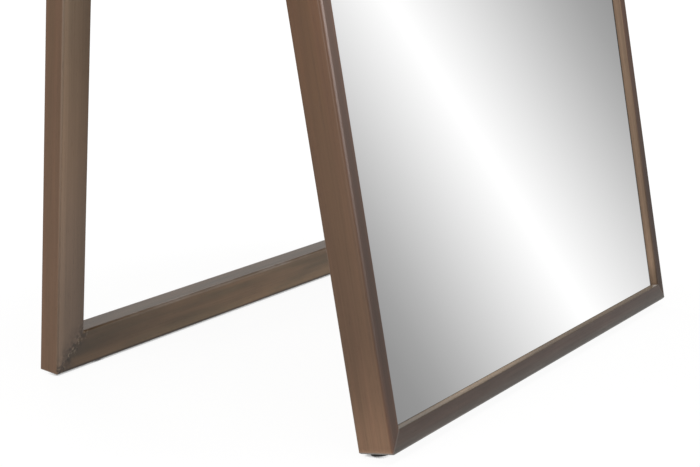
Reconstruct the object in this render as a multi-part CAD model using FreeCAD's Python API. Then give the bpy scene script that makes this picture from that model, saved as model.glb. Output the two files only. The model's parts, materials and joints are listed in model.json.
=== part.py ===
import FreeCAD, Part
import math
import os

# A floor-standing dressing mirror: a mitred mirror frame that leans back on a folding rear stand.
# Millimetres and degrees. X runs across the mirror, Y from its face to its back, Z up from the floor.

# Mirror frame: a moulding with a rounded outer edge and a rebate behind its lip
frame_width = 700.0
frame_length = 1700.0
frame_depth = 42.0
stile_face = 18.0
rail_face = 23.0
stile_rebate = 7.0
lip_depth = 10.5
outer_round = 4.0
sight_round = 1.0
rear_round = 3.5
frame_corner_round = 8.0
frame_key_thickness = 3.0
frame_key_cover = 3.2

# Glass, its backing board and the beads that hold both in the rebate
glass_thickness = 4.0
glass_play = 1.0
glass_arris = 0.6
board_thickness = 4.0
bead_width = 8.0
bead_depth = 10.0
bead_round = 2.0
brad_side = 1.4
brad_spacing = 400.0
brad_end = 40.0
brad_cover = 5.0

# Cross rails between the stiles, flush with the back of the frame
hinge_drop = 145.0
hinge_rail_rise = 24.0
hinge_rail_fall = 40.0
brace_rise = 420.0
brace_height = 50.0
rail_round = 1.5
tenon_thickness = 6.0
tenon_bite = 22.0
tenon_cover = 3.0
tenon_shoulder = 10.0

# Stand: a mitred frame of plain bars with eased edges, a little narrower than the mirror
stand_inset = 8.0
upright_face = 44.0
bar_face = 45.0
stand_depth = 28.0
stand_round = 2.5
stand_corner_round = 3.0
stand_heel = 16.0
stand_key_thickness = 5.0
stand_key_cover = 9.0

# How it stands: both leans are from the vertical, and the stand's heel stops against the frame's back
lean_angle = 10.9
prop_angle = 5.05
foot_clearance = 1.2
fold_gap = 2.0
stop_gap = 0.3

# Butt hinges let into the hinge rail and the stand's top bar
hinge_inset = 130.0
leaf_length = 64.0
leaf_width = 24.0
leaf_thickness = 2.0
knuckle_count = 3
knuckle_radius = 4.0
knuckle_gap = 0.3
knuckle_relief = 0.6
hinge_pin_radius = 2.0
screw_shank_radius = 1.7
screw_length = 11.0
screw_place_shares = (-0.3, 0.3)
screw_row_share = 0.6

# Feet under the mirror and the stand, and the bumpers that the folded stand closes on
mirror_glide_radius = 12.0
mirror_glide_inset = 20.0
mirror_glide_setback = 16.0
stand_glide_radius = 11.0
stand_glide_inset = 73.0
glide_sole_share = 0.7
glide_nail_side = 2.6
glide_nail_length = 9.0
bumper_side = 14.0
bumper_gap = 0.4

# Fits and the overrun of every cut
running_fit = 0.05
seat_fit = 0.1
overrun = 5.0

# Worked out from the sizes above
half_width = frame_width / 2
stile_wall = stile_face - stile_rebate
mitre_slope = rail_face / stile_face
rail_wall = stile_wall * mitre_slope
inner_half = half_width - stile_wall
board_front = lip_depth + glass_thickness
bead_front = board_front + board_thickness
rail_front = bead_front + bead_depth
rail_middle = (rail_front + frame_depth) / 2
glide_depth = frame_depth - mirror_glide_setback
half_gap = fold_gap / 2
hinge_height = frame_length - hinge_drop
hinge_line = frame_depth + half_gap
fold_angle = lean_angle + prop_angle
stand_half = half_width - stand_inset
stand_slope = bar_face / upright_face
stand_middle = half_gap + stand_depth / 2
screw_head_radius = screw_shank_radius + leaf_thickness
arc_middle_share = 1 - math.sqrt(0.5)
full_turn = 360.0

# Where the leaning pieces land: the mirror's rear edge and the stand's front edge clear the floor alike
lean_sin = math.sin(math.radians(lean_angle))
lean_cos = math.cos(math.radians(lean_angle))
prop_sin = math.sin(math.radians(prop_angle))
prop_cos = math.cos(math.radians(prop_angle))
mirror_z = frame_depth * lean_sin + foot_clearance
hinge_z = mirror_z + hinge_height * lean_cos - hinge_line * lean_sin
stand_drop = (hinge_z + half_gap * prop_sin - foot_clearance) / prop_cos
front_reach = outer_round * (lean_cos + lean_sin - 1)
hinge_reach = hinge_line * lean_cos + hinge_height * lean_sin
rear_edge = half_gap + stand_depth - stand_round
rear_reach = hinge_reach + rear_edge * prop_cos + (stand_drop - stand_round) * prop_sin + stand_round
mirror_y = -(front_reach + rear_reach) / 2
hinge_y = mirror_y + hinge_reach

# How far the glides stand out, so that each one's sole begins at its share of the radius
mirror_sole_depth = glide_depth + glide_sole_share * mirror_glide_radius
mirror_glide_height = (mirror_z - mirror_sole_depth * lean_sin) / lean_cos
stand_sole_depth = stand_depth / 2 - glide_sole_share * stand_glide_radius
stand_glide_height = (foot_clearance + stand_sole_depth * prop_sin) / prop_cos


def vector(x, y, z):
    return FreeCAD.Vector(x, y, z)


def block(corner, opposite):
    low = vector(*[min(pair) for pair in zip(corner, opposite)])
    sizes = [abs(b - a) for a, b in zip(corner, opposite)]
    return Part.makeBox(*sizes, low)


def rod(start, end, radius):
    return Part.makeCylinder(radius, (end - start).Length, start, end - start)


def rounded_face(corners):
    # A face from right-angled corners in order, each with the radius that it is rounded to
    edges = []
    ends = []
    for index, (corner, radius) in enumerate(corners):
        back = (corners[index - 1][0] - corner).normalize()
        onward = (corners[(index + 1) % len(corners)][0] - corner).normalize()
        entry = corner + back * radius
        leave = corner + onward * radius
        if radius > 0:
            middle = corner + (back + onward) * (radius * arc_middle_share)
            edges.append(Part.Arc(entry, middle, leave).toShape())
        ends.append((entry, leave))
    for index, (entry, leave) in enumerate(ends):
        edges.append(Part.makeLine(ends[index - 1][1], entry))
    return Part.Face(Part.Wire(Part.__sortEdges__(edges)))


def polygon_slab(place, points, front, back):
    # A flat outline of across and along points, pushed through the depth from front to back
    corners = [place(across, front, along) for across, along in points]
    face = Part.Face(Part.makePolygon(corners + corners[:1]))
    return face.extrude(place(0, back, 0) - place(0, front, 0))


def side_places(half, low, high, front):
    # Each member of a frame in its own terms: across from the outer edge, depth, and along its length
    return {
        "left": lambda across, depth, along: vector(across - half, front + depth, low + along),
        "right": lambda across, depth, along: vector(half - across, front + depth, low + along),
        "bottom": lambda across, depth, along: vector(along - half, front + depth, low + across),
        "top": lambda across, depth, along: vector(along - half, front + depth, high - across),
    }


def mitre_waste(place, face, slope, depth, end):
    reach = face + overrun
    corners = [(-overrun, -overrun), (reach, reach), (reach, -reach), (-overrun, -reach)]
    outline = [(across, end(along * slope)) for across, along in corners]
    return polygon_slab(place, outline, -overrun, depth + overrun)


def corner_waste(place, radius, depth, end):
    # What rounding the outer corner of the joined frame takes off
    middle = radius * arc_middle_share
    points = [place(across, -overrun, end(along)) for across, along in
              [(0, radius), (-overrun, radius), (-overrun, -overrun), (radius, -overrun), (radius, 0)]]
    edges = [Part.makeLine(a, b) for a, b in zip(points, points[1:])]
    edges.append(Part.Arc(points[-1], place(middle, -overrun, end(middle)), points[0]).toShape())
    face = Part.Face(Part.Wire(edges))
    return face.extrude(place(0, depth + overrun, 0) - place(0, -overrun, 0))


def mitred_member(place, section, length, face, slope, depth, corner_radius):
    outline = rounded_face([(place(across, deep, 0), radius) for across, deep, radius in section])
    member = outline.extrude(place(0, 0, length) - place(0, 0, 0))
    for end in (lambda along: along, lambda along: length - along):
        member = member.cut(mitre_waste(place, face, slope, depth, end))
        member = member.cut(corner_waste(place, corner_radius, depth, end))
    return member


def corner_keys(places, length, wall, slope, cover, front, back, fit):
    # One flat key across each mitre, with its diagonal on the mitre line
    keys = []
    for side in ("left", "right"):
        for end in (lambda along: along, lambda along: length - along):
            near = places[side](cover - fit, front - fit, end(cover * slope - fit))
            far = places[side](wall - cover + fit, back + fit, end((wall - cover) * slope + fit))
            keys.append(block(near, far))
    return keys


frame_places = side_places(half_width, 0, frame_length, 0)
stand_length = stand_drop + stand_heel
stand_places = side_places(stand_half, -stand_drop, stand_heel, half_gap)


def moulding_section(face, wall):
    return [(0, 0, outer_round), (face, 0, sight_round), (face, lip_depth, 0),
            (wall, lip_depth, 0), (wall, frame_depth, 0), (0, frame_depth, rear_round)]


def bar_section(face):
    return [(0, 0, stand_round), (face, 0, stand_round),
            (face, stand_depth, stand_round), (0, stand_depth, stand_round)]


def frame_members():
    stile = (moulding_section(stile_face, stile_wall), frame_length, stile_face, mitre_slope)
    rail = (moulding_section(rail_face, rail_wall), frame_width, rail_face, 1 / mitre_slope)
    members = {"left_stile": ("left", stile), "right_stile": ("right", stile),
               "bottom_rail": ("bottom", rail), "top_rail": ("top", rail)}
    return {name: mitred_member(frame_places[side], *form, frame_depth, frame_corner_round)
            for name, (side, form) in members.items()}


def stand_members():
    upright = (bar_section(upright_face), stand_length, upright_face, stand_slope)
    bar = (bar_section(bar_face), 2 * stand_half, bar_face, 1 / stand_slope)
    members = {"stand_left_upright": ("left", upright), "stand_right_upright": ("right", upright),
               "stand_bottom_bar": ("bottom", bar), "stand_top_bar": ("top", bar)}
    return {name: mitred_member(stand_places[side], *form, stand_depth, stand_corner_round)
            for name, (side, form) in members.items()}


def heel_waste():
    # The open frame's back, seen from the stand: the heel is planed to lie along it
    reach = stand_depth + stand_heel
    waste = block((-half_width, -half_gap + stop_gap - reach, -reach),
                  (half_width, -half_gap + stop_gap, reach + stand_heel))
    waste.rotate(vector(0, 0, 0), vector(1, 0, 0), -fold_angle)
    return waste


def frame_keys(fit):
    middle = (lip_depth + frame_depth) / 2
    half = frame_key_thickness / 2
    return corner_keys(frame_places, frame_length, stile_wall, mitre_slope, frame_key_cover,
                       middle - half, middle + half, fit)


def stand_keys(fit):
    middle = stand_depth / 2
    half = stand_key_thickness / 2
    return corner_keys(stand_places, stand_length, upright_face, stand_slope, stand_key_cover,
                       middle - half, middle + half, fit)


def pane(front, thickness):
    half = inner_half - glass_play
    low = rail_wall + glass_play
    return block((-half, front, low), (half, front + thickness, frame_length - low))


def mirror_glass():
    glass = pane(lip_depth, glass_thickness)
    return glass.makeChamfer(glass_arris, glass.Edges)


def side_bead(sign):
    wall = sign * inner_half
    inside = sign * (inner_half - bead_width)
    back = bead_front + bead_depth
    section = [(wall, bead_front, 0), (inside, bead_front, 0), (inside, back, bead_round), (wall, back, 0)]
    face = rounded_face([(vector(x, y, rail_wall), radius) for x, y, radius in section])
    return face.extrude(vector(0, 0, frame_length - 2 * rail_wall))


def end_bead(wall, inside):
    half = inner_half - bead_width
    back = bead_front + bead_depth
    section = [(bead_front, wall, 0), (bead_front, inside, 0), (back, inside, bead_round), (back, wall, 0)]
    face = rounded_face([(vector(-half, y, z), radius) for y, z, radius in section])
    return face.extrude(vector(2 * half, 0, 0))


def spaced(low, high, spacing):
    gaps = max(1, round((high - low) / spacing))
    return [low + (high - low) * step / gaps for step in range(gaps + 1)]


def bead_brads(fit):
    # Square brads through the beads into the walls of the rebate, stopping short of the outside
    depth = bead_front + bead_depth / 2
    half = brad_side / 2 + fit
    brads = []
    for z in spaced(rail_wall + brad_end, frame_length - rail_wall - brad_end, brad_spacing):
        for sign in (-1, 1):
            inside = sign * (inner_half - bead_width)
            outside = sign * (half_width - brad_cover)
            brads.append(block((inside, depth - half, z - half), (outside, depth + half, z + half)))
    reach = inner_half - bead_width - brad_end
    for x in spaced(-reach, reach, brad_spacing):
        for inside, outside in ((rail_wall + bead_width, brad_cover),
                                (frame_length - rail_wall - bead_width, frame_length - brad_cover)):
            brads.append(block((x - half, depth - half, inside), (x + half, depth + half, outside)))
    return brads


def cross_rail(low, high):
    section = [(rail_front, low, 0), (frame_depth, low, rail_round),
               (frame_depth, high, rail_round), (rail_front, high, 0)]
    face = rounded_face([(vector(-inner_half, y, z), radius) for y, z, radius in section])
    return face.extrude(vector(2 * inner_half, 0, 0))


def rail_tenons(fit):
    # Loose tenons between the rails' ends and the stiles, stopping short of the outside
    half = tenon_thickness / 2 + fit
    tenons = []
    for low, high in ((hinge_height - hinge_rail_fall, hinge_height + hinge_rail_rise),
                      (brace_rise, brace_rise + brace_height)):
        for sign in (-1, 1):
            inside = sign * (inner_half - tenon_bite - fit)
            outside = sign * (half_width - tenon_cover + fit)
            tenons.append(block((inside, rail_middle - half, low + tenon_shoulder - fit),
                                (outside, rail_middle + half, high - tenon_shoulder + fit)))
    return tenons


def hinge_spans(owner):
    # Knuckles alternate along the pin: even ones belong to the frame's leaf, odd ones to the stand's
    pitch = leaf_length / knuckle_count
    starts = [index * pitch - leaf_length / 2 for index in range(owner, knuckle_count, 2)]
    return [(start + knuckle_gap / 2, start + pitch - knuckle_gap / 2) for start in starts]


def screw_points(side):
    return [vector(share * leaf_length, side * half_gap, -screw_row_share * leaf_width)
            for share in screw_place_shares]


def turned(point, side, profile):
    # A profile of radius and depth points, turned about the screw's axis
    corners = [point + vector(radius, side * deep, 0) for radius, deep in profile]
    face = Part.Face(Part.makePolygon(corners + corners[:1]))
    return face.revolve(point, vector(0, 1, 0), full_turn)


def screw(point, side):
    # Countersunk through the leaf, driven away from the hinge line
    return turned(point, side, [
        (0, 0), (screw_head_radius, 0), (screw_shank_radius, leaf_thickness),
        (screw_shank_radius, screw_length), (0, screw_length)])


def screw_hole(point, side):
    head = screw_head_radius + seat_fit
    shank = screw_shank_radius + seat_fit
    return turned(point, side, [
        (0, -overrun), (head, -overrun), (head, 0), (shank, leaf_thickness),
        (shank, screw_length + seat_fit), (0, screw_length + seat_fit)])


def hinge_leaf(side, owner):
    # Made about the hinge line: side -1 lies in the frame, side 1 in the stand
    half = leaf_length / 2
    leaf = block((-half, side * half_gap, -leaf_width), (half, side * (half_gap + leaf_thickness), 0))
    for start, end in hinge_spans(owner):
        leaf = leaf.fuse(rod(vector(start, 0, 0), vector(end, 0, 0), knuckle_radius))
    notch = knuckle_radius + knuckle_gap
    for start, end in hinge_spans(1 - owner):
        leaf = leaf.cut(block((start - knuckle_gap, -notch, -notch), (end + knuckle_gap, notch, notch)))
    leaf = leaf.cut(rod(vector(-half, 0, 0), vector(half, 0, 0), hinge_pin_radius + running_fit))
    for point in screw_points(side):
        leaf = leaf.cut(screw_hole(point, side))
    return leaf.removeSplitter()


def hinge_pin():
    half = leaf_length / 2
    return rod(vector(-half, 0, 0), vector(half, 0, 0), hinge_pin_radius)


def hinge_housing(side):
    # The mortise for one leaf, the round relief for the knuckles and the screw holes
    half = leaf_length / 2 + seat_fit
    mortise = block((-half, side * (half_gap - overrun), -leaf_width - seat_fit),
                    (half, side * (half_gap + leaf_thickness), 0))
    reach = leaf_length / 2 + knuckle_relief
    relief = rod(vector(-reach, 0, 0), vector(reach, 0, 0), knuckle_radius + knuckle_relief)
    return [mortise, relief] + [screw_hole(point, side) for point in screw_points(side)]


def glide_nail(x, y, z, fit):
    half = glide_nail_side / 2 + fit
    return block((x - half, y - half, z - fit), (x + half, y + half, z + glide_nail_length + fit))


def glide(x, y, z, radius, height, placement):
    # A nailed disc whose low side is cut level with the floor
    button = rod(vector(x, y, z - height), vector(x, y, z), radius)
    whole = button.fuse(glide_nail(x, y, z, 0))
    whole.Placement = placement
    floor = block((-frame_width, -frame_length, -frame_length), (frame_width, frame_length, 0))
    return whole.cut(floor)


def bumper(x):
    # A square pad on the brace rail, where the folded stand's upright comes to rest
    half = bumper_side / 2
    z = brace_rise + brace_height / 2
    return block((x - half, frame_depth, z - half), (x + half, frame_depth + fold_gap - bumper_gap, z + half))


def at_places(shapes, places):
    moved = []
    for place in places:
        for shape in shapes:
            moved.append(shape.translated(place))
    return moved


def cut_all(solid, tools):
    for tool in tools:
        if solid.BoundBox.intersect(tool.BoundBox):
            solid = solid.cut(tool)
    return solid


frame_placement = FreeCAD.Placement(
    vector(0, mirror_y, mirror_z), FreeCAD.Rotation(vector(1, 0, 0), -lean_angle))
stand_placement = FreeCAD.Placement(
    vector(0, hinge_y, hinge_z), FreeCAD.Rotation(vector(1, 0, 0), prop_angle))
hinge_sides = {"left": hinge_inset - half_width, "right": half_width - hinge_inset}
frame_hinges = {side: vector(x, hinge_line, hinge_height) for side, x in hinge_sides.items()}
stand_hinges = {side: vector(x, 0, 0) for side, x in hinge_sides.items()}
frame_feet = {"left": mirror_glide_inset - half_width, "right": half_width - mirror_glide_inset}
stand_feet = {"left": stand_glide_inset - stand_half, "right": stand_half - stand_glide_inset}


def frame_nodes():
    nodes = frame_members()
    nail_holes = [glide_nail(x, glide_depth, 0, running_fit) for x in frame_feet.values()]
    brad_holes = bead_brads(running_fit)
    mortises = rail_tenons(running_fit)
    for name in nodes:
        nodes[name] = cut_all(nodes[name], frame_keys(running_fit) + brad_holes + mortises + nail_holes)
    nodes["frame_corner_keys"] = Part.makeCompound(frame_keys(0))
    nodes["mirror_glass"] = mirror_glass()
    nodes["back_board"] = pane(board_front, board_thickness)
    beads = {
        "left_bead": side_bead(-1),
        "right_bead": side_bead(1),
        "bottom_bead": end_bead(rail_wall, rail_wall + bead_width),
        "top_bead": end_bead(frame_length - rail_wall, frame_length - rail_wall - bead_width),
    }
    for name, bead in beads.items():
        nodes[name] = cut_all(bead, brad_holes)
    nodes["bead_brads"] = Part.makeCompound(bead_brads(0))
    housing = at_places(hinge_housing(-1), frame_hinges.values())
    hinge_rail = cross_rail(hinge_height - hinge_rail_fall, hinge_height + hinge_rail_rise)
    nodes["hinge_rail"] = cut_all(hinge_rail, housing + mortises)
    nodes["brace_rail"] = cut_all(cross_rail(brace_rise, brace_rise + brace_height), mortises)
    nodes["rail_tenons"] = Part.makeCompound(rail_tenons(0))
    for side, place in frame_hinges.items():
        nodes[side + "_hinge_frame_leaf"] = hinge_leaf(-1, 0).translated(place)
        nodes[side + "_hinge_pin"] = hinge_pin().translated(place)
    screws = [screw(point, -1) for point in screw_points(-1)]
    nodes["frame_leaf_screws"] = Part.makeCompound(at_places(screws, frame_hinges.values()))
    for side, sign in (("left", -1), ("right", 1)):
        nodes[side + "_bumper"] = bumper(sign * (stand_half - upright_face / 2))
    return nodes


def stand_nodes():
    nodes = stand_members()
    nail_holes = [glide_nail(x, stand_middle, -stand_drop, running_fit) for x in stand_feet.values()]
    housing = at_places(hinge_housing(1), stand_hinges.values())
    for name in nodes:
        nodes[name] = cut_all(nodes[name], [heel_waste()] + stand_keys(running_fit) + nail_holes + housing)
    nodes["stand_corner_keys"] = Part.makeCompound(stand_keys(0))
    for side, place in stand_hinges.items():
        nodes[side + "_hinge_stand_leaf"] = hinge_leaf(1, 1).translated(place)
    screws = [screw(point, 1) for point in screw_points(1)]
    nodes["stand_leaf_screws"] = Part.makeCompound(at_places(screws, stand_hinges.values()))
    return nodes


def placed_nodes():
    nodes = {}
    for group, placement in ((frame_nodes(), frame_placement), (stand_nodes(), stand_placement)):
        for name, shape in group.items():
            shape.Placement = placement.multiply(shape.Placement)
            nodes[name] = shape
    for side, x in frame_feet.items():
        nodes[side + "_mirror_glide"] = glide(
            x, glide_depth, 0, mirror_glide_radius, mirror_glide_height, frame_placement)
    for side, x in stand_feet.items():
        nodes[side + "_stand_glide"] = glide(
            x, stand_middle, -stand_drop, stand_glide_radius, stand_glide_height, stand_placement)
    return nodes


def main():
    os.makedirs("parts", exist_ok=True)
    nodes = placed_nodes()
    for name, shape in nodes.items():
        if not shape.isValid():
            print("not valid:", name)
        shape.exportStep("parts/" + name + ".step")
    print("nodes", len(nodes), "hinge line y %.3f z %.3f" % (hinge_y, hinge_z), "fold %.2f" % fold_angle)
    print("stand length %.1f" % stand_length, "depth over all %.1f" % (rear_reach - front_reach))


main()
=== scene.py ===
import json
import math

import bpy
from mathutils import Matrix, Vector

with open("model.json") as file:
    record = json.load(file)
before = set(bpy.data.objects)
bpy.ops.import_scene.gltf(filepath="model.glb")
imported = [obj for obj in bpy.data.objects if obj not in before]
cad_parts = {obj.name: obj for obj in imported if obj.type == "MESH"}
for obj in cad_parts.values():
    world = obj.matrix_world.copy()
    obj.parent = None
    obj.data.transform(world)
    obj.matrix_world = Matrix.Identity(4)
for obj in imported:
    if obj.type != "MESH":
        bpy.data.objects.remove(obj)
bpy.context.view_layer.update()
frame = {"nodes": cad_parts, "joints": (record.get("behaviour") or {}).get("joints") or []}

scene = bpy.context.scene
nodes = frame["nodes"]
mmPerMetre = 1000


def hexToLinear(code):
    # undoes the sRGB curve for each channel
    parts = [int(code[i:i + 2], 16) / 255 for i in (1, 3, 5)]
    return tuple(p / 12.92 if p <= 0.04045 else ((p + 0.055) / 1.055) ** 2.4 for p in parts) + (1.0,)


def grey(level):
    return (level, level, level, 1.0)


def addNode(tree, kind, inputs=None, stops=None, **settings):
    # a node or socket given as an input is linked, any other input is set on the node's own socket
    made = tree.nodes.new(kind)
    for name, value in settings.items():
        setattr(made, name, value)
    for socket, value in (inputs or {}).items():
        if isinstance(value, bpy.types.Node):
            value = value.outputs[0]
        if isinstance(value, bpy.types.NodeSocket):
            tree.links.new(value, made.inputs[socket])
        else:
            made.inputs[socket].default_value = value
    for index, (place, colour) in enumerate(stops or []):
        elements = made.color_ramp.elements
        element = elements[index] if index < 2 else elements.new(place)  # a new ramp has two stops already
        element.position = place
        element.color = colour
    return made


def newMaterial(name):
    made = bpy.data.materials.new(name)
    made.use_nodes = True
    made.node_tree.nodes.clear()
    return made, made.node_tree


def dress(made, *names):
    for name in names:
        piece = nodes[name]
        piece.data.materials.clear()
        piece.data.materials.append(made)


# The two leaning frames in millimetres, as the solids have them
mirrorFrame = {"leanDeg": 10.9, "half": 350.0, "length": 1700.0, "depth": 42.0, "stile": 18.0, "rail": 23.0,
               "hingeUp": 1555.0, "hingeGap": 1.0}
standFrame = {"propDeg": 5.05, "half": 342.0, "upright": 44.0, "bar": 45.0, "heel": 16.0, "drop": 1532.8,
              "front": 1.0, "depth": 28.0}
hingeMm = Vector(frame["joints"][0]["pos_m"]) * mmPerMetre
hingeInFrame = Vector((0, mirrorFrame["depth"] + mirrorFrame["hingeGap"], mirrorFrame["hingeUp"]))
leanBack = Matrix.Rotation(math.radians(mirrorFrame["leanDeg"]), 3, "X")
propBack = Matrix.Rotation(math.radians(-standFrame["propDeg"]), 3, "X")
# Each frame's own millimetres from object metres: X across, Y from front to back, Z up along the frame
mirrorSpace = {"turn": math.radians(mirrorFrame["leanDeg"]), "shift": hingeInFrame - leanBack @ hingeMm}
standSpace = {"turn": math.radians(-standFrame["propDeg"]), "shift": -(propBack @ hingeMm)}


def ownMillimetres(tree, space):
    coords = addNode(tree, "ShaderNodeTexCoord")
    return addNode(tree, "ShaderNodeMapping", {
        "Vector": coords.outputs["Object"], "Location": space["shift"],
        "Rotation": (space["turn"], 0, 0), "Scale": (mmPerMetre,) * 3})


# Walnut-stained hardwood, planed, sanded and sprayed with satin lacquer. The stain takes unevenly, so
# soft lengthwise bands run between reddish and olive brown, with fibres and short pores in them.
# Fibres and pores are drawn coarser than real ones, which are too fine to show
walnut = {
    "warm": "#714f3b",
    "cool": "#644b38",
    "bandSpread": (0.34, 0.64),
    "warmFront": 0.0,
    # each layer of the grain: width across, length along, detail
    "grainMm": {"band": (15, 560, 1.0), "cloud": (60, 150, 2.0), "fibre": (1.9, 140, 3.0),
                "pore": (0.8, 13, 1.0)},
    "grainRoughness": 0.55,
    "driftMm": 9,
    "driftEveryMm": 260,
    "cloudShare": 0.14,
    "fibreShare": 0.16,
    "fibreSpread": (0.3, 0.7),
    "poreShare": 0.16,
    "poreSpread": (0.36, 0.28),
    # where a tint or a fade holds: measured by, begins at, full at
    "masksMm": {"front": ("depth", 2.4, 0.4), "ends": ("end", 640.0, 120.0), "rim": ("edge", 14.0, 3.0)},
    "tintsAndSheen": [],
    "paintedLightAndTone": [],
    "lip": "#8b7761",
    "lipMm": (0.8, 0.2),
    "wearAndHighlightShare": 0.0,
    "seamShare": 0.0,
    "filler": [],
    "roughness": (0.30, 0.38),
    "ior": 1.46,
    "bumpMm": 0.05,
    "bumpStrength": 0.5,
    "poreDepth": 0.8,
}
frameCorner = {"space": mirrorSpace, "half": mirrorFrame["half"], "middle": mirrorFrame["length"] / 2,
               "halfLength": mirrorFrame["length"] / 2, "front": 0.0, "depth": mirrorFrame["depth"],
               "uprightFace": mirrorFrame["stile"], "barFace": mirrorFrame["rail"], "hasLip": True}
standCorner = {"space": standSpace, "half": standFrame["half"],
               "middle": (standFrame["heel"] - standFrame["drop"]) / 2,
               "halfLength": (standFrame["heel"] + standFrame["drop"]) / 2,
               "front": standFrame["front"], "depth": standFrame["depth"],
               "uprightFace": standFrame["upright"], "barFace": standFrame["bar"], "hasLip": False}


def walnutStained(name, corner, along, changes):
    look = {**walnut, **corner, **changes}
    made, tree = newMaterial(name)
    own = ownMillimetres(tree, look["space"])
    place = addNode(tree, "ShaderNodeSeparateXYZ", {0: own})
    cross = "X" if along == "Z" else "Z"
    # The grain wanders a little as it runs along the piece
    slow = addNode(tree, "ShaderNodeVectorMath", {
        0: own, 1: (1 / look["driftEveryMm"],) * 3}, operation="MULTIPLY")
    drift = addNode(tree, "ShaderNodeTexNoise", {"Vector": slow, "Scale": 1.0, "Detail": 1.0})
    sway = addNode(tree, "ShaderNodeMath", {
        0: drift, 1: look["driftMm"], 2: place.outputs[cross]}, operation="MULTIPLY_ADD")
    grain = addNode(tree, "ShaderNodeCombineXYZ", {
        "X": sway, "Y": place.outputs["Y"], "Z": place.outputs[along]})
    layers = {}
    for layer, (wide, long, detail) in look["grainMm"].items():
        scaled = addNode(tree, "ShaderNodeVectorMath", {
            0: grain, 1: (1 / wide, 1 / wide, 1 / long)}, operation="MULTIPLY")
        layers[layer] = addNode(tree, "ShaderNodeTexNoise", {
            "Vector": scaled, "Scale": 1.0, "Detail": detail, "Roughness": look["grainRoughness"]})
    clouds = addNode(tree, "ShaderNodeMath", {
        0: layers["cloud"], 1: 2 * look["cloudShare"], 2: 1 - look["cloudShare"] - look["fibreShare"]},
        operation="MULTIPLY_ADD")
    fibres = addNode(tree, "ShaderNodeMath", {
        0: layers["fibre"], 1: 2 * look["fibreShare"], 2: clouds}, operation="MULTIPLY_ADD")
    start, stop = look["poreSpread"]
    pores = addNode(tree, "ShaderNodeMapRange", {
        "Value": layers["pore"], "From Min": start, "From Max": stop}, interpolation_type="SMOOTHSTEP")
    shade = addNode(tree, "ShaderNodeMath", {
        0: pores, 1: -look["poreShare"], 2: fibres}, operation="MULTIPLY_ADD")

    # How far a point lies from the outer edge of its own piece, from the piece's end and from its front
    offAxis = addNode(tree, "ShaderNodeMath", {0: place.outputs["X"]}, operation="ABSOLUTE")
    fromSide = addNode(tree, "ShaderNodeMath", {0: look["half"], 1: offAxis}, operation="SUBTRACT")
    rise = addNode(tree, "ShaderNodeMath", {
        0: place.outputs["Z"], 1: look["middle"]}, operation="SUBTRACT")
    offMiddle = addNode(tree, "ShaderNodeMath", {0: rise}, operation="ABSOLUTE")
    fromTip = addNode(tree, "ShaderNodeMath", {0: look["halfLength"], 1: offMiddle}, operation="SUBTRACT")
    if along == "Z":
        edge, end, face, nextFace = fromSide, fromTip, look["uprightFace"], look["barFace"]
    else:
        edge, end, face, nextFace = fromTip, fromSide, look["barFace"], look["uprightFace"]
    fromFront = addNode(tree, "ShaderNodeMath", {
        0: place.outputs["Y"], 1: look["front"]}, operation="SUBTRACT")
    places = {"X": place.outputs["X"], "edge": edge, "end": end, "depth": fromFront}

    # Soft bands of the two stains, on some pieces redder towards the front
    redder = addNode(tree, "ShaderNodeMapRange", {
        "Value": fromFront, "From Min": 0.0, "From Max": look["depth"],
        "To Min": look["warmFront"], "To Max": -look["warmFront"]})
    banded = addNode(tree, "ShaderNodeMath", {0: layers["band"], 1: redder}, operation="ADD")
    start, stop = look["bandSpread"]
    bands = addNode(tree, "ShaderNodeMapRange", {
        "Value": banded, "From Min": start, "From Max": stop}, interpolation_type="SMOOTHSTEP")
    tone = addNode(tree, "ShaderNodeMixRGB", {
        "Fac": bands, "Color1": hexToLinear(look["cool"]), "Color2": hexToLinear(look["warm"])})

    masks = {}
    for where, (by, start, stop) in look["masksMm"].items():
        masks[where] = addNode(tree, "ShaderNodeMapRange", {
            "Value": places[by], "From Min": start, "From Max": stop}, interpolation_type="SMOOTHSTEP")
    start, stop = look["lipMm"]
    masks["lip"] = addNode(tree, "ShaderNodeMapRange", {
        "Value": edge, "From Min": face - start, "From Max": face - stop})
    # Tints mix other tones in: redder on the stiles' fronts and greyer near the ends of stiles and
    # uprights.
    # The grey on the rail's lower edge is painted sheen; the grey on the upright's front is partly tone,
    # partly painted sheen
    for where, tint, share in look["tintsAndSheen"]:
        tinted = addNode(tree, "ShaderNodeMath", {0: masks[where], 1: share}, operation="MULTIPLY")
        tone = addNode(tree, "ShaderNodeMixRGB", {
            "Fac": tinted, "Color1": tone, "Color2": hexToLinear(tint)})
    # Each fade lightens or darkens the colour from one place to another, all round or within its mask: most
    # are painted light and shade, a few are tone
    for where, by, start, stop, low, high in look["paintedLightAndTone"]:
        lightAndToneFactor = addNode(tree, "ShaderNodeMapRange", {
            "Value": places[by], "From Min": start, "From Max": stop, "To Min": low, "To Max": high},
            interpolation_type="SMOOTHSTEP")
        if where in masks:
            lightAndToneFactor = addNode(tree, "ShaderNodeMapRange", {
                "Value": masks[where], "To Min": 1.0, "To Max": lightAndToneFactor})
        shade = addNode(tree, "ShaderNodeMath", {0: shade, 1: lightAndToneFactor}, operation="MULTIPLY")
    colour = addNode(tree, "ShaderNodeVectorMath", {0: tone, "Scale": shade}, operation="SCALE")
    if look["hasLip"]:
        # The lip's inner side has a lighter, more golden tone
        lipTone = addNode(tree, "ShaderNodeVectorMath", {
            0: hexToLinear(look["lip"])[:3], "Scale": shade}, operation="SCALE")
        colour = addNode(tree, "ShaderNodeMixRGB", {
            "Fac": masks["lip"], "Color1": colour, "Color2": lipTone})

    if look["wearAndHighlightShare"]:
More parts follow.
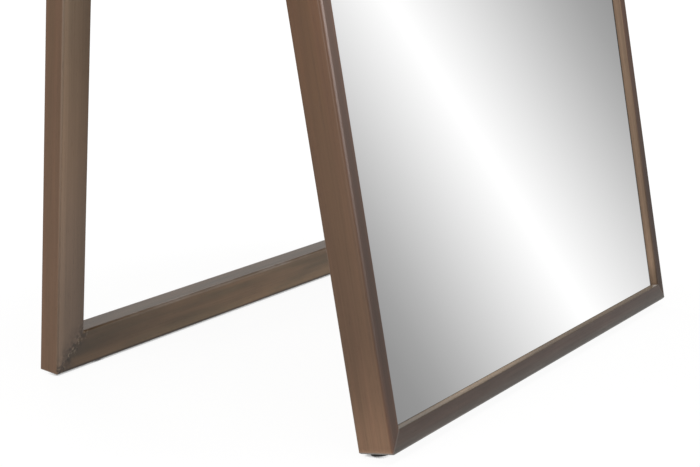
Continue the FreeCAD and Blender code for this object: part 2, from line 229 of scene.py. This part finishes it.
        # Lighter along the arrises, in patches and over part of the length: on the uprights, near their
        # ends, handling has thinned the stain; on the bars a painted highlight runs along the top arrises,
        # fading out towards the ends
        nearEdge = addNode(tree, "ShaderNodeMath", {0: face, 1: edge}, operation="SUBTRACT")
        if not look["wearAndHighlightInside"]:
            nearEdge = addNode(tree, "ShaderNodeMath", {0: edge, 1: nearEdge}, operation="MINIMUM")
        fromBack = addNode(tree, "ShaderNodeMath", {0: look["depth"], 1: fromFront}, operation="SUBTRACT")
        nearFace = addNode(tree, "ShaderNodeMath", {0: fromFront, 1: fromBack}, operation="MINIMUM")
        toArris = addNode(tree, "ShaderNodeCombineXYZ", {"X": nearEdge, "Y": nearFace})
        fromArris = addNode(tree, "ShaderNodeVectorMath", {0: toArris}, operation="LENGTH")
        start, stop = look["wearAndHighlightMm"]
        arris = addNode(tree, "ShaderNodeMapRange", {
            "Value": fromArris.outputs["Value"], "From Min": start, "From Max": stop},
            interpolation_type="SMOOTHSTEP")
        start, stop = look["wearAndHighlightPatches"]
        patchy = addNode(tree, "ShaderNodeMapRange", {
            "Value": layers["cloud"], "From Min": start, "From Max": stop,
            "To Min": look["wearAndHighlightLeast"] * look["wearAndHighlightShare"], "To Max": look["wearAndHighlightShare"]})
        start, stop = look["wearAndHighlightFadeMm"]
        alongLength = addNode(tree, "ShaderNodeMapRange", {"Value": end, "From Min": start, "From Max": stop})
        patches = addNode(tree, "ShaderNodeMath", {0: arris, 1: patchy}, operation="MULTIPLY")
        wearAndHighlight = addNode(tree, "ShaderNodeMath", {0: patches, 1: alongLength}, operation="MULTIPLY")
        colour = addNode(tree, "ShaderNodeMixRGB", {
            "Fac": wearAndHighlight, "Color1": colour, "Color2": hexToLinear(look["wearAndHighlight"])})

    # How far a point lies from the mitre, measured square to it
    slope = nextFace / face
    overMitre = addNode(tree, "ShaderNodeMath", {0: edge, 1: -slope, 2: end}, operation="MULTIPLY_ADD")
    offMitre = addNode(tree, "ShaderNodeMath", {0: overMitre}, operation="ABSOLUTE")
    fromMitre = addNode(tree, "ShaderNodeMath", {0: offMitre, 1: math.hypot(1, slope)}, operation="DIVIDE")
    if look["seamShare"]:
        seam = addNode(tree, "ShaderNodeMapRange", {
            "Value": fromMitre, "From Min": look["seamMm"], "From Max": 0.0, "To Max": look["seamShare"]})
        colour = addNode(tree, "ShaderNodeMixRGB", {
            "Fac": seam, "Color1": colour, "Color2": hexToLinear(look["seam"])})
    for crumb in look["filler"]:
        nearMitre = addNode(tree, "ShaderNodeMapRange", {
            "Value": fromMitre, "From Min": crumb["reachMm"], "From Max": crumb["fullMm"],
            "To Max": crumb["share"]}, interpolation_type="SMOOTHSTEP")
        scaled = addNode(tree, "ShaderNodeVectorMath", {
            0: own, 1: (1 / crumb["sizeMm"],) * 3}, operation="MULTIPLY")
        crumbs = addNode(tree, "ShaderNodeTexNoise", {"Vector": scaled, "Scale": 1.0, "Detail": 2.0})
        start, stop = crumb["spread"]
        spots = addNode(tree, "ShaderNodeMapRange", {"Value": crumbs, "From Min": start, "From Max": stop})
        rubbed = addNode(tree, "ShaderNodeMath", {0: masks["front"], 1: nearMitre}, operation="MULTIPLY")
        speck = addNode(tree, "ShaderNodeMath", {0: spots, 1: rubbed}, operation="MULTIPLY")
        colour = addNode(tree, "ShaderNodeMixRGB", {
            "Fac": speck, "Color1": colour, "Color2": hexToLinear(crumb["tint"])})

    low, high = look["roughness"]
    start, stop = look["fibreSpread"]
    rough = addNode(tree, "ShaderNodeMapRange", {
        "Value": layers["fibre"], "From Min": start, "From Max": stop, "To Min": high, "To Max": low})
    height = addNode(tree, "ShaderNodeMath", {
        0: pores, 1: -look["poreDepth"], 2: layers["fibre"]}, operation="MULTIPLY_ADD")
    bump = addNode(tree, "ShaderNodeBump", {
        "Height": height, "Strength": look["bumpStrength"], "Distance": look["bumpMm"] / mmPerMetre})
    shader = addNode(tree, "ShaderNodeBsdfPrincipled", {
        "Base Color": colour, "Roughness": rough, "Normal": bump, "IOR": look["ior"]})
    addNode(tree, "ShaderNodeOutputMaterial", {"Surface": shader})
    return made


# A tint is written as where, tone, share. A fade, mostly painted light and shade, is written as where,
# measured by, start and stop in millimetres, factor at the start, factor at the stop
closedMitre = {"seam": "#857870", "seamMm": 1.6, "seamShare": 0.6}  # a thin pale line where it was filled
stile = {
    **closedMitre,
    "warm": "#714e36",
    "cool": "#6a4b32",
    "lip": "#a88c74",
    "warmFront": 0.12,
    "grainMm": {**walnut["grainMm"], "fibre": (2.8, 170, 3.0)},
    "fibreShare": 0.26,
    "roughness": (0.36, 0.44),
    "tintsAndSheen": [("ends", "#6f5a49", 0.58), ("front", "#6c4833", 0.7)],
}
# Mostly painted light and shade on both stiles: the side darker towards the back and lighter at the foot,
# each end lighter, the front face darker low down and lighter upwards, the right stile's front darker than
# the left's, darker in from the arris and lighter next to the pane
stilePaintedLightAndTone = [
    ("all", "depth", 2.0, 42.0, 1.02, 0.90),
    ("all", "end", 10.0, 130.0, 1.34, 0.96),
    ("front", "end", 120.0, 760.0, 0.58, 1.54),
    ("all", "end", 0.0, 9.0, 1.30, 1.0),
    ("front", "X", -300.0, 300.0, 1.05, 0.84),
    ("front", "edge", 3.0, 8.0, 1.0, 0.78),
    ("front", "edge", 11.0, 17.0, 1.0, 1.34),
]
# and painted light on the outer side of the left stile near its foot
leftStile = {**stile, "paintedLightAndTone": stilePaintedLightAndTone + [("rim", "end", 12.0, 64.0, 1.17, 1.0)]}
rightStile = {
    **stile,
    "seamShare": 0.2,
    "paintedLightAndTone": stilePaintedLightAndTone + [
        # painted light and shade on the right stile: its front lighter going up from the foot, darker just
        # above the foot and lighter at the very end; its lip darker towards the front and in the corner at
        # the foot
        ("front", "end", 20.0, 300.0, 1.0, 1.36),
        ("lip", "depth", 0.5, 6.5, 0.76, 1.08),
        ("lip", "end", 30.0, 62.0, 0.66, 1.0),
        ("front", "end", 24.0, 60.0, 0.70, 1.0),
        ("front", "end", 12.0, 26.0, 1.35, 1.0),
    ],
}
frameRail = {
    **closedMitre,
    "warm": "#6a554a",
    "cool": "#64584e",
    "grainMm": {**walnut["grainMm"], "cloud": (11, 60, 2.0)},
    "cloudShare": 0.30,
    "fibreShare": 0.24,
    # the grey on the rail's lower edge is painted sheen
    "tintsAndSheen": [("rim", "#66635d", 0.6)],
    # painted light and shade on the rails: the front darker towards the lip, a painted reflection of the
    # bright strip on the lip left of the middle, and the lip darker towards its front
    "paintedLightAndTone": [
        ("front", "edge", 2.0, 20.0, 0.98, 0.74),
        ("lip", "X", -315.0, -150.0, 0.78, 1.84),
        ("lip", "X", -140.0, 10.0, 1.0, 0.56),
        ("lip", "depth", 0.5, 6.0, 0.78, 1.04),
    ],
}
crossRail = {"hasLip": False}
# The stand's mitres are open. Filler was rubbed into them: a soft dark blur with fine dark and a few pale
# crumbs in it
standMember = {
    "filler": [
        {"tint": "#463a31", "sizeMm": 20.0, "spread": (0.30, 0.60), "reachMm": 26.0, "fullMm": 1.0,
         "share": 0.63},
        {"tint": "#2a211a", "sizeMm": 5.0, "spread": (0.47, 0.58), "reachMm": 15.0, "fullMm": 1.0,
         "share": 0.522},
        {"tint": "#a08e78", "sizeMm": 3.6, "spread": (0.56, 0.66), "reachMm": 13.0, "fullMm": 1.0,
         "share": 0.495},
    ],
    "wearAndHighlightPatches": (0.35, 0.62),
    "wearAndHighlightLeast": 0.3,
}
upright = {
    **standMember,
    "warm": "#6f5441",
    "cool": "#68513e",
    "fibreShare": 0.18,
    "wearAndHighlight": "#8d735c",
    "wearAndHighlightShare": 0.42,
    "wearAndHighlightMm": (2.4, 1.0),
    "wearAndHighlightFadeMm": (120.0, 48.0),
    "wearAndHighlightInside": False,
    # the grey front tint is partly tone, partly painted sheen
    "tintsAndSheen": [("front", "#685f53", 0.85), ("ends", "#6f5745", 0.5)],
    # painted light and shade on the uprights: the front made about half again to twice as bright, most near
    # the outer arris, darker right at the arris and towards the inner edge, darker down to the foot and
    # lighter higher up; slight changes along the length all round
    "paintedLightAndTone": [
        ("front", "edge", 4.0, 44.0, 1.95, 1.52),
        ("front", "edge", 3.0, 15.0, 1.30, 1.0),
        ("front", "edge", 26.0, 42.0, 1.0, 0.92),
        ("front", "edge", 0.6, 3.8, 0.56, 1.0),
        ("front", "end", 30.0, 330.0, 0.68, 1.14),
        ("front", "end", 330.0, 900.0, 1.0, 1.20),
        ("all", "end", 200.0, 330.0, 1.03, 0.95),
        ("all", "end", 400.0, 900.0, 1.08, 0.94),
    ],
}
bar = {
    **standMember,
    "warm": "#6e573f",
    "cool": "#61503a",
    "grainMm": {**walnut["grainMm"], "band": (15, 180, 1.0), "cloud": (22, 70, 2.0)},
    "cloudShare": 0.26,
    # the pale line along the bar's top arris is a painted highlight
    "wearAndHighlight": "#a89a8e",
    "wearAndHighlightShare": 1.0,
    "wearAndHighlightMm": (4.6, 1.2),
    "wearAndHighlightFadeMm": (60.0, 200.0),
    "wearAndHighlightInside": True,
    # on the bars: the front lighter to the right and darker at the left end, lighter near its top and its
    # bottom; a painted shadow along the bottom edge, a painted highlight along the top arris and painted
    # shade on the top face
    "paintedLightAndTone": [
        ("front", "X", -280.0, 80.0, 0.90, 1.40),
        ("front", "X", -310.0, -150.0, 0.80, 1.0),
        ("front", "edge", 32.0, 43.0, 1.0, 1.16),
        ("front", "edge", 4.0, 20.0, 1.40, 1.0),
        ("all", "edge", 1.9, 5.4, 0.22, 1.0),
        ("all", "edge", 41.8, 43.6, 1.0, 1.2),
        ("all", "edge", 44.2, 45.0, 1.0, 0.83),
    ],
}
dress(walnutStained("walnutLeftStile", frameCorner, "Z", leftStile), "left_stile")
dress(walnutStained("walnutRightStile", frameCorner, "Z", rightStile), "right_stile")
dress(walnutStained("walnutFrameRail", frameCorner, "X", frameRail), "bottom_rail", "top_rail")
dress(walnutStained("walnutCrossRail", frameCorner, "X", crossRail), "hinge_rail", "brace_rail")
dress(walnutStained("walnutUpright", standCorner, "Z", upright), "stand_left_upright",
      "stand_right_upright")
dress(walnutStained("walnutBar", standCorner, "X", bar), "stand_bottom_bar", "stand_top_bar")
# The silvering lies behind the pane, so the lip's own image is lost in the pane's dark edge, which is
# painted shade
for name in ("left_stile", "right_stile", "bottom_rail", "top_rail"):
    nodes[name].visible_glossy = False
print("woods done")


# Float glass, silvered behind and cut with a ground edge: it sends back nearly all light without a colour.
# Where it meets the lip a thin dark line of painted shade stands for the thickness of the pane
silvered = {"tint": "#f8f8f8", "edge": "#4a4034", "sideShadeLineMm": 3.4, "endShadeLineMm": 0.4, "shadeLineCore": 0.6}


def silveredGlass(name, look=silvered):
    made, tree = newMaterial(name)
    place = addNode(tree, "ShaderNodeSeparateXYZ", {0: ownMillimetres(tree, mirrorSpace)})
    side = addNode(tree, "ShaderNodeMath", {0: place.outputs["X"]}, operation="ABSOLUTE")
    halfLength = mirrorFrame["length"] / 2
    height = addNode(tree, "ShaderNodeMath", {0: place.outputs["Z"], 1: halfLength}, operation="SUBTRACT")
    rise = addNode(tree, "ShaderNodeMath", {0: height}, operation="ABSOLUTE")
    sideSight = mirrorFrame["half"] - mirrorFrame["stile"]
    endSight = halfLength - mirrorFrame["rail"]
    # a thin line of painted shade along each lip, wider at the sides than at the ends
    shadeLines = []
    for sight, away, wide in ((sideSight, side, look["sideShadeLineMm"]), (endSight, rise, look["endShadeLineMm"])):
        near = addNode(tree, "ShaderNodeMath", {0: sight, 1: away}, operation="SUBTRACT")
        shadeLines.append(addNode(tree, "ShaderNodeMapRange", {
            "Value": near, "From Min": wide, "From Max": look["shadeLineCore"] * wide}))
    shadeLine = addNode(tree, "ShaderNodeMath", {0: shadeLines[0], 1: shadeLines[1]}, operation="MAXIMUM")
    tint = addNode(tree, "ShaderNodeMixRGB", {
        "Fac": shadeLine, "Color1": hexToLinear(look["tint"]), "Color2": hexToLinear(look["edge"])})
    shader = addNode(tree, "ShaderNodeBsdfPrincipled", {
        "Base Color": tint, "Metallic": 1.0, "Roughness": 0.0})
    addNode(tree, "ShaderNodeOutputMaterial", {"Surface": shader})
    return made


dress(silveredGlass("silveredFloatGlass"), "mirror_glass")
print("glass done")


# Finishes that are a base with one pattern in it: two tones mixed by a noise stretched to the given
# millimetres, the same noise in the gloss and, a little, in the relief
pattern = {"detail": 3.0, "noiseRoughness": 0.6, "bumpStrength": 0.5}
# planed pine strip: pale early wood with darker late-wood lines along it
pine = {"tones": ("#b48a58", "#dcbd8e"), "spread": (0.36, 0.56), "roughness": (0.48, 0.62),
        "reliefMm": 0.05}
finishes = {
    "pineUpright": {**pine, "spotMm": (2.2, 2.2, 190.0)},
    "pineAcross": {**pine, "spotMm": (190.0, 2.2, 2.2)},
    # hot-pressed wood fibre, its smooth side out: a brown felt of short fibres
    "hardboard": {"tones": ("#5f4530", "#8a6848"), "spotMm": (2.4, 2.4, 7.0), "spread": (0.34, 0.66),
                  "roughness": (0.50, 0.68), "reliefMm": 0.06},
    # sawn beech: even pinkish brown with short darker rays
    "beech": {"tones": ("#a97f5b", "#cfa883"), "spotMm": (0.9, 0.9, 3.5), "spread": (0.32, 0.50),
              "roughness": (0.50, 0.60), "reliefMm": 0.03},
    # zinc-plated pressed steel: a cool grey with faint straw and blue clouds and fine rolling marks
    "zincSteel": {"tones": ("#a4a8ad", "#c7c4b8"), "spotMm": (9.0, 0.5, 0.5), "spread": (0.30, 0.70),
                  "roughness": (0.26, 0.40), "reliefMm": 0.01, "metallic": 1.0},
    # drawn steel wire, left bright
    "brightSteel": {"tones": ("#85827c", "#aaa7a0"), "spotMm": (0.5, 0.5, 3.0), "spread": (0.30, 0.70),
                    "roughness": (0.28, 0.42), "reliefMm": 0.01, "metallic": 1.0},
    # moulded polyethylene: near black, finely grained, scuffed where it slides
    "polyethylene": {"tones": ("#191614", "#2b2723"), "spotMm": (0.8, 0.8, 0.8), "spread": (0.40, 0.70),
                     "roughness": (0.42, 0.60), "reliefMm": 0.04},
    # cut rubber sheet: dark, dull and slightly dusty
    "rubber": {"tones": ("#231e1a", "#3a332d"), "spotMm": (1.2, 1.2, 1.2), "spread": (0.38, 0.68),
               "roughness": (0.72, 0.88), "reliefMm": 0.05},
}


def patterned(name):
    look = {**pattern, **finishes[name]}
    made, tree = newMaterial(name)
    scaled = addNode(tree, "ShaderNodeVectorMath", {
        0: ownMillimetres(tree, mirrorSpace), 1: [1 / size for size in look["spotMm"]]},
        operation="MULTIPLY")
    spots = addNode(tree, "ShaderNodeTexNoise", {
        "Vector": scaled, "Scale": 1.0, "Detail": look["detail"], "Roughness": look["noiseRoughness"]})
    start, stop = look["spread"]
    mask = addNode(tree, "ShaderNodeMapRange", {"Value": spots, "From Min": start, "From Max": stop})
    tone = addNode(tree, "ShaderNodeMixRGB", {
        "Fac": mask, "Color1": hexToLinear(look["tones"][0]), "Color2": hexToLinear(look["tones"][1])})
    low, high = look["roughness"]
    rough = addNode(tree, "ShaderNodeMapRange", {"Value": mask, "To Min": high, "To Max": low})
    bump = addNode(tree, "ShaderNodeBump", {
        "Height": mask, "Strength": look["bumpStrength"], "Distance": look["reliefMm"] / mmPerMetre})
    shader = addNode(tree, "ShaderNodeBsdfPrincipled", {
        "Base Color": tone, "Roughness": rough, "Normal": bump, "Metallic": look.get("metallic", 0.0)})
    addNode(tree, "ShaderNodeOutputMaterial", {"Surface": shader})
    return made


dress(patterned("hardboard"), "back_board")
dress(patterned("pineUpright"), "left_bead", "right_bead")
dress(patterned("pineAcross"), "bottom_bead", "top_bead")
dress(patterned("beech"), "frame_corner_keys", "rail_tenons", "stand_corner_keys")
dress(patterned("zincSteel"), "left_hinge_frame_leaf", "right_hinge_frame_leaf", "left_hinge_stand_leaf",
      "right_hinge_stand_leaf", "frame_leaf_screws", "stand_leaf_screws")
dress(patterned("brightSteel"), "bead_brads", "left_hinge_pin", "right_hinge_pin")
dress(patterned("polyethylene"), "left_mirror_glide", "right_mirror_glide", "left_stand_glide",
      "right_stand_glide")
dress(patterned("rubber"), "left_bumper", "right_bumper")
print("finishes done")


# Camera where the photograph was taken from, looking down a little past the mirror's left edge
view = {"place": (-1.46862, -0.95843, 0.54489), "yawDeg": 55.832, "downDeg": 13.140, "lensMm": 73.538,
        "sensorMm": 36.0, "nearest": 0.05}


def addCamera(look=view):
    data = bpy.data.cameras.new("camera")
    data.lens = look["lensMm"]
    data.sensor_width = look["sensorMm"]
    data.sensor_fit = "HORIZONTAL"
    data.clip_start = look["nearest"]
    camera = bpy.data.objects.new("camera", data)
    camera.location = look["place"]
    camera.rotation_euler = (math.radians(90 - look["downDeg"]), 0, math.radians(-look["yawDeg"]))
    scene.collection.objects.link(camera)
    scene.camera = camera


# Soft studio: low even light, and for shiny surfaces a pale room with a white strip that the mirror
# picks up, which fades to grey on both sides of a slanting line. The room is dimmer low down and at the
# left
studio = {
    "ambient": 0.17,
    "stripAxis": (0.4898, 0.8376, 0.2419),
    "stripMiddle": 0.006,
    "strip": [(0.0, 1.0), (0.004, 1.0), (0.064, 0.625), (0.09, 0.47), (0.11, 0.37), (0.13, 0.30),
              (0.17, 0.23), (0.30, 0.30), (0.55, 0.66), (0.78, 0.84), (1.0, 0.60)],
    "stripLevel": 1.07,
    "stripSide": (0.863, -0.505, 0.0),
    "stripBlend": (0.2, 0.6),
    "room": (0.35, 1.0),
    "roomRise": (-0.3, 0.4),
    "floorLevel": 0.65,
    "floorRise": (-0.21, -0.145),
    "leftShare": 0.4,
    "leftReach": (-0.6, 0.3),
}


def addWorld(look=studio):
    world = bpy.data.worlds.new("softStudio")
    scene.world = world
    world.use_nodes = True
    tree = world.node_tree
    tree.nodes.clear()
    direction = addNode(tree, "ShaderNodeTexCoord").outputs["Generated"]
    lean = addNode(tree, "ShaderNodeVectorMath", {
        0: direction, 1: look["stripAxis"]}, operation="DOT_PRODUCT")
    off = addNode(tree, "ShaderNodeMath", {
        0: lean.outputs["Value"], 1: look["stripMiddle"]}, operation="SUBTRACT")
    away = addNode(tree, "ShaderNodeMath", {0: off}, operation="ABSOLUTE")
    strip = addNode(tree, "ShaderNodeValToRGB", {"Fac": away}, stops=[
        (place, grey(level)) for place, level in look["strip"]])
    bright = addNode(tree, "ShaderNodeVectorMath", {
        0: strip, "Scale": look["stripLevel"]}, operation="SCALE")
    heading = addNode(tree, "ShaderNodeSeparateXYZ", {0: direction})
    low, high = look["room"]
    start, stop = look["roomRise"]
    room = addNode(tree, "ShaderNodeMapRange", {
        "Value": heading.outputs["Z"], "From Min": start, "From Max": stop, "To Min": low, "To Max": high},
        interpolation_type="SMOOTHSTEP")
    facing = addNode(tree, "ShaderNodeVectorMath", {
        0: direction, 1: look["stripSide"]}, operation="DOT_PRODUCT")
    start, stop = look["stripBlend"]
    share = addNode(tree, "ShaderNodeMapRange", {
        "Value": facing.outputs["Value"], "From Min": start, "From Max": stop},
        interpolation_type="SMOOTHSTEP")
    seenInGloss = addNode(tree, "ShaderNodeMixRGB", {"Fac": share, "Color1": room, "Color2": bright})
    start, stop = look["floorRise"]
    above = addNode(tree, "ShaderNodeMapRange", {
        "Value": heading.outputs["Z"], "From Min": start, "From Max": stop},
        interpolation_type="SMOOTHSTEP")
    seenInGloss = addNode(tree, "ShaderNodeMixRGB", {
        "Fac": above, "Color1": grey(look["floorLevel"]), "Color2": seenInGloss})
    start, stop = look["leftReach"]
    sideways = addNode(tree, "ShaderNodeMapRange", {
        "Value": heading.outputs["X"], "From Min": start, "From Max": stop, "To Min": look["leftShare"]},
        interpolation_type="SMOOTHSTEP")
    seenInGloss = addNode(tree, "ShaderNodeVectorMath", {
        0: seenInGloss, "Scale": sideways}, operation="SCALE")
    path = addNode(tree, "ShaderNodeLightPath")
    soft = addNode(tree, "ShaderNodeBackground", {"Color": grey(1.0), "Strength": look["ambient"]})
    shiny = addNode(tree, "ShaderNodeBackground", {"Color": seenInGloss, "Strength": 1.0})
    white = addNode(tree, "ShaderNodeBackground", {"Color": grey(1.0), "Strength": 1.0})
    lit = addNode(tree, "ShaderNodeMixShader", {0: path.outputs["Is Glossy Ray"], 1: soft, 2: shiny})
    plain = addNode(tree, "ShaderNodeMath", {
        0: path.outputs["Is Camera Ray"], 1: path.outputs["Is Transmission Ray"]}, operation="MAXIMUM")
    seen = addNode(tree, "ShaderNodeMixShader", {0: plain, 1: lit, 2: white})
    addNode(tree, "ShaderNodeOutputWorld", {"Surface": seen})


# Pale floor that runs out of sight, a sweep lit from below: white where the camera looks, with a faint
# shadow round the feet and a dark one under what all but touches it. Lengths are in metres
floorLook = {"reach": 12.0, "drop": 0.0003, "colour": "#efeeec", "glow": 1.06, "sweepShare": 0.6,
             "shadowShare": 0.11, "shadowReach": (0.40, 0.95), "contactReach": 0.005, "contactDark": 0.25,
             "contactSpread": (0.10, 0.42), "contactSamples": 8}


def addFloor(look=floorLook):
    mesh = bpy.data.meshes.new("floor")
    reach = look["reach"]
    corners = ((-reach, -reach), (reach, -reach), (reach, reach), (-reach, reach))
    mesh.from_pydata([(x, y, -look["drop"]) for x, y in corners], [], [(0, 1, 2, 3)])
    floor = bpy.data.objects.new("floor", mesh)
    scene.collection.objects.link(floor)
    made, tree = newMaterial("paleFloor")
    path = addNode(tree, "ShaderNodeLightPath")
    coords = addNode(tree, "ShaderNodeTexCoord")
    away = addNode(tree, "ShaderNodeVectorMath", {0: coords.outputs["Object"]}, operation="LENGTH")
    start, stop = look["shadowReach"]
    glowShare = addNode(tree, "ShaderNodeMapRange", {
        "Value": away.outputs["Value"], "From Min": start, "From Max": stop,
        "To Min": 1 - look["shadowShare"]}, interpolation_type="SMOOTHSTEP")
    matt = addNode(tree, "ShaderNodeBsdfDiffuse", {"Color": hexToLinear(look["colour"])})
    # Where a piece all but touches the floor, no light comes in under it
    openSky = addNode(tree, "ShaderNodeAmbientOcclusion", {
        "Distance": look["contactReach"]}, samples=look["contactSamples"])
    start, stop = look["contactSpread"]
    lit = addNode(tree, "ShaderNodeMapRange", {
        "Value": openSky.outputs["AO"], "From Min": start, "From Max": stop,
        "To Min": look["contactDark"], "To Max": look["glow"]}, interpolation_type="SMOOTHSTEP")
    glow = addNode(tree, "ShaderNodeEmission", {"Color": grey(1.0), "Strength": lit})
    clear = addNode(tree, "ShaderNodeBsdfTransparent")
    pale = addNode(tree, "ShaderNodeMixShader", {0: glowShare, 1: matt, 2: glow})
    plain = addNode(tree, "ShaderNodeMath", {
        0: path.outputs["Is Camera Ray"], 1: path.outputs["Is Transmission Ray"]}, operation="MAXIMUM")
    sweep = addNode(tree, "ShaderNodeMixShader", {0: look["sweepShare"], 1: matt, 2: glow})
    seen = addNode(tree, "ShaderNodeMixShader", {0: plain, 1: sweep, 2: pale})
    mirrored = addNode(tree, "ShaderNodeMixShader", {0: path.outputs["Is Glossy Ray"], 1: seen, 2: clear})
    addNode(tree, "ShaderNodeOutputMaterial", {"Surface": mirrored})
    mesh.materials.append(made)


# Softboxes: a large one at the left, one overhead a little in front, one in front that only draws the
# light line on the left stile's arris, and one behind at the right that gives no gloss. Places and sizes
# are in metres
lamps = {
    "keyLeft": {"place": (-3.0, 0.15, 1.3), "aim": (-0.3, 0.05, 0.5), "size": (2.0, 1.6), "watts": 42},
    "overhead": {"place": (-0.1, -0.7, 3.2), "aim": (-0.1, -0.4, 0.0), "size": (2.2, 1.0), "watts": 30},
    "glossFront": {"place": (0.08, -2.78, 1.42), "aim": (-0.17, -0.15, 1.42), "size": (3.4, 0.95),
                   "watts": 131, "matt": False, "only": ("left_stile",)},
    "fillBehind": {"place": (1.4, 3.0, 1.1), "aim": (0.0, 0.2, 0.8), "size": (1.6, 1.6), "watts": 38,
                   "gloss": False},
}


def addLamps():
    # No softbox shows in the mirror: a lamp lights every piece but the pane, or the pieces it names
    pieces = [piece for piece in scene.objects if piece.type == "MESH" and piece != nodes["mirror_glass"]]
    for name, look in lamps.items():
        litPieces = bpy.data.collections.new(name + "Pieces")
        for piece in [nodes[only] for only in look["only"]] if "only" in look else pieces:
            litPieces.objects.link(piece)
        data = bpy.data.lights.new(name, "AREA")
        data.shape = "RECTANGLE"
        data.size, data.size_y = look["size"]
        data.energy = look["watts"]
        lamp = bpy.data.objects.new(name, data)
        lamp.location = look["place"]
        aim = Vector(look["aim"]) - lamp.location
        lamp.rotation_euler = aim.to_track_quat("-Z", "Y").to_euler()
        lamp.visible_camera = False
        lamp.light_linking.receiver_collection = litPieces
        lamp.visible_diffuse = look.get("matt", True)
        lamp.visible_glossy = look.get("gloss", True)
        scene.collection.objects.link(lamp)


scene.view_settings.view_transform = "Standard"
addCamera()
addWorld()
addFloor()
addLamps()
print("studio done")
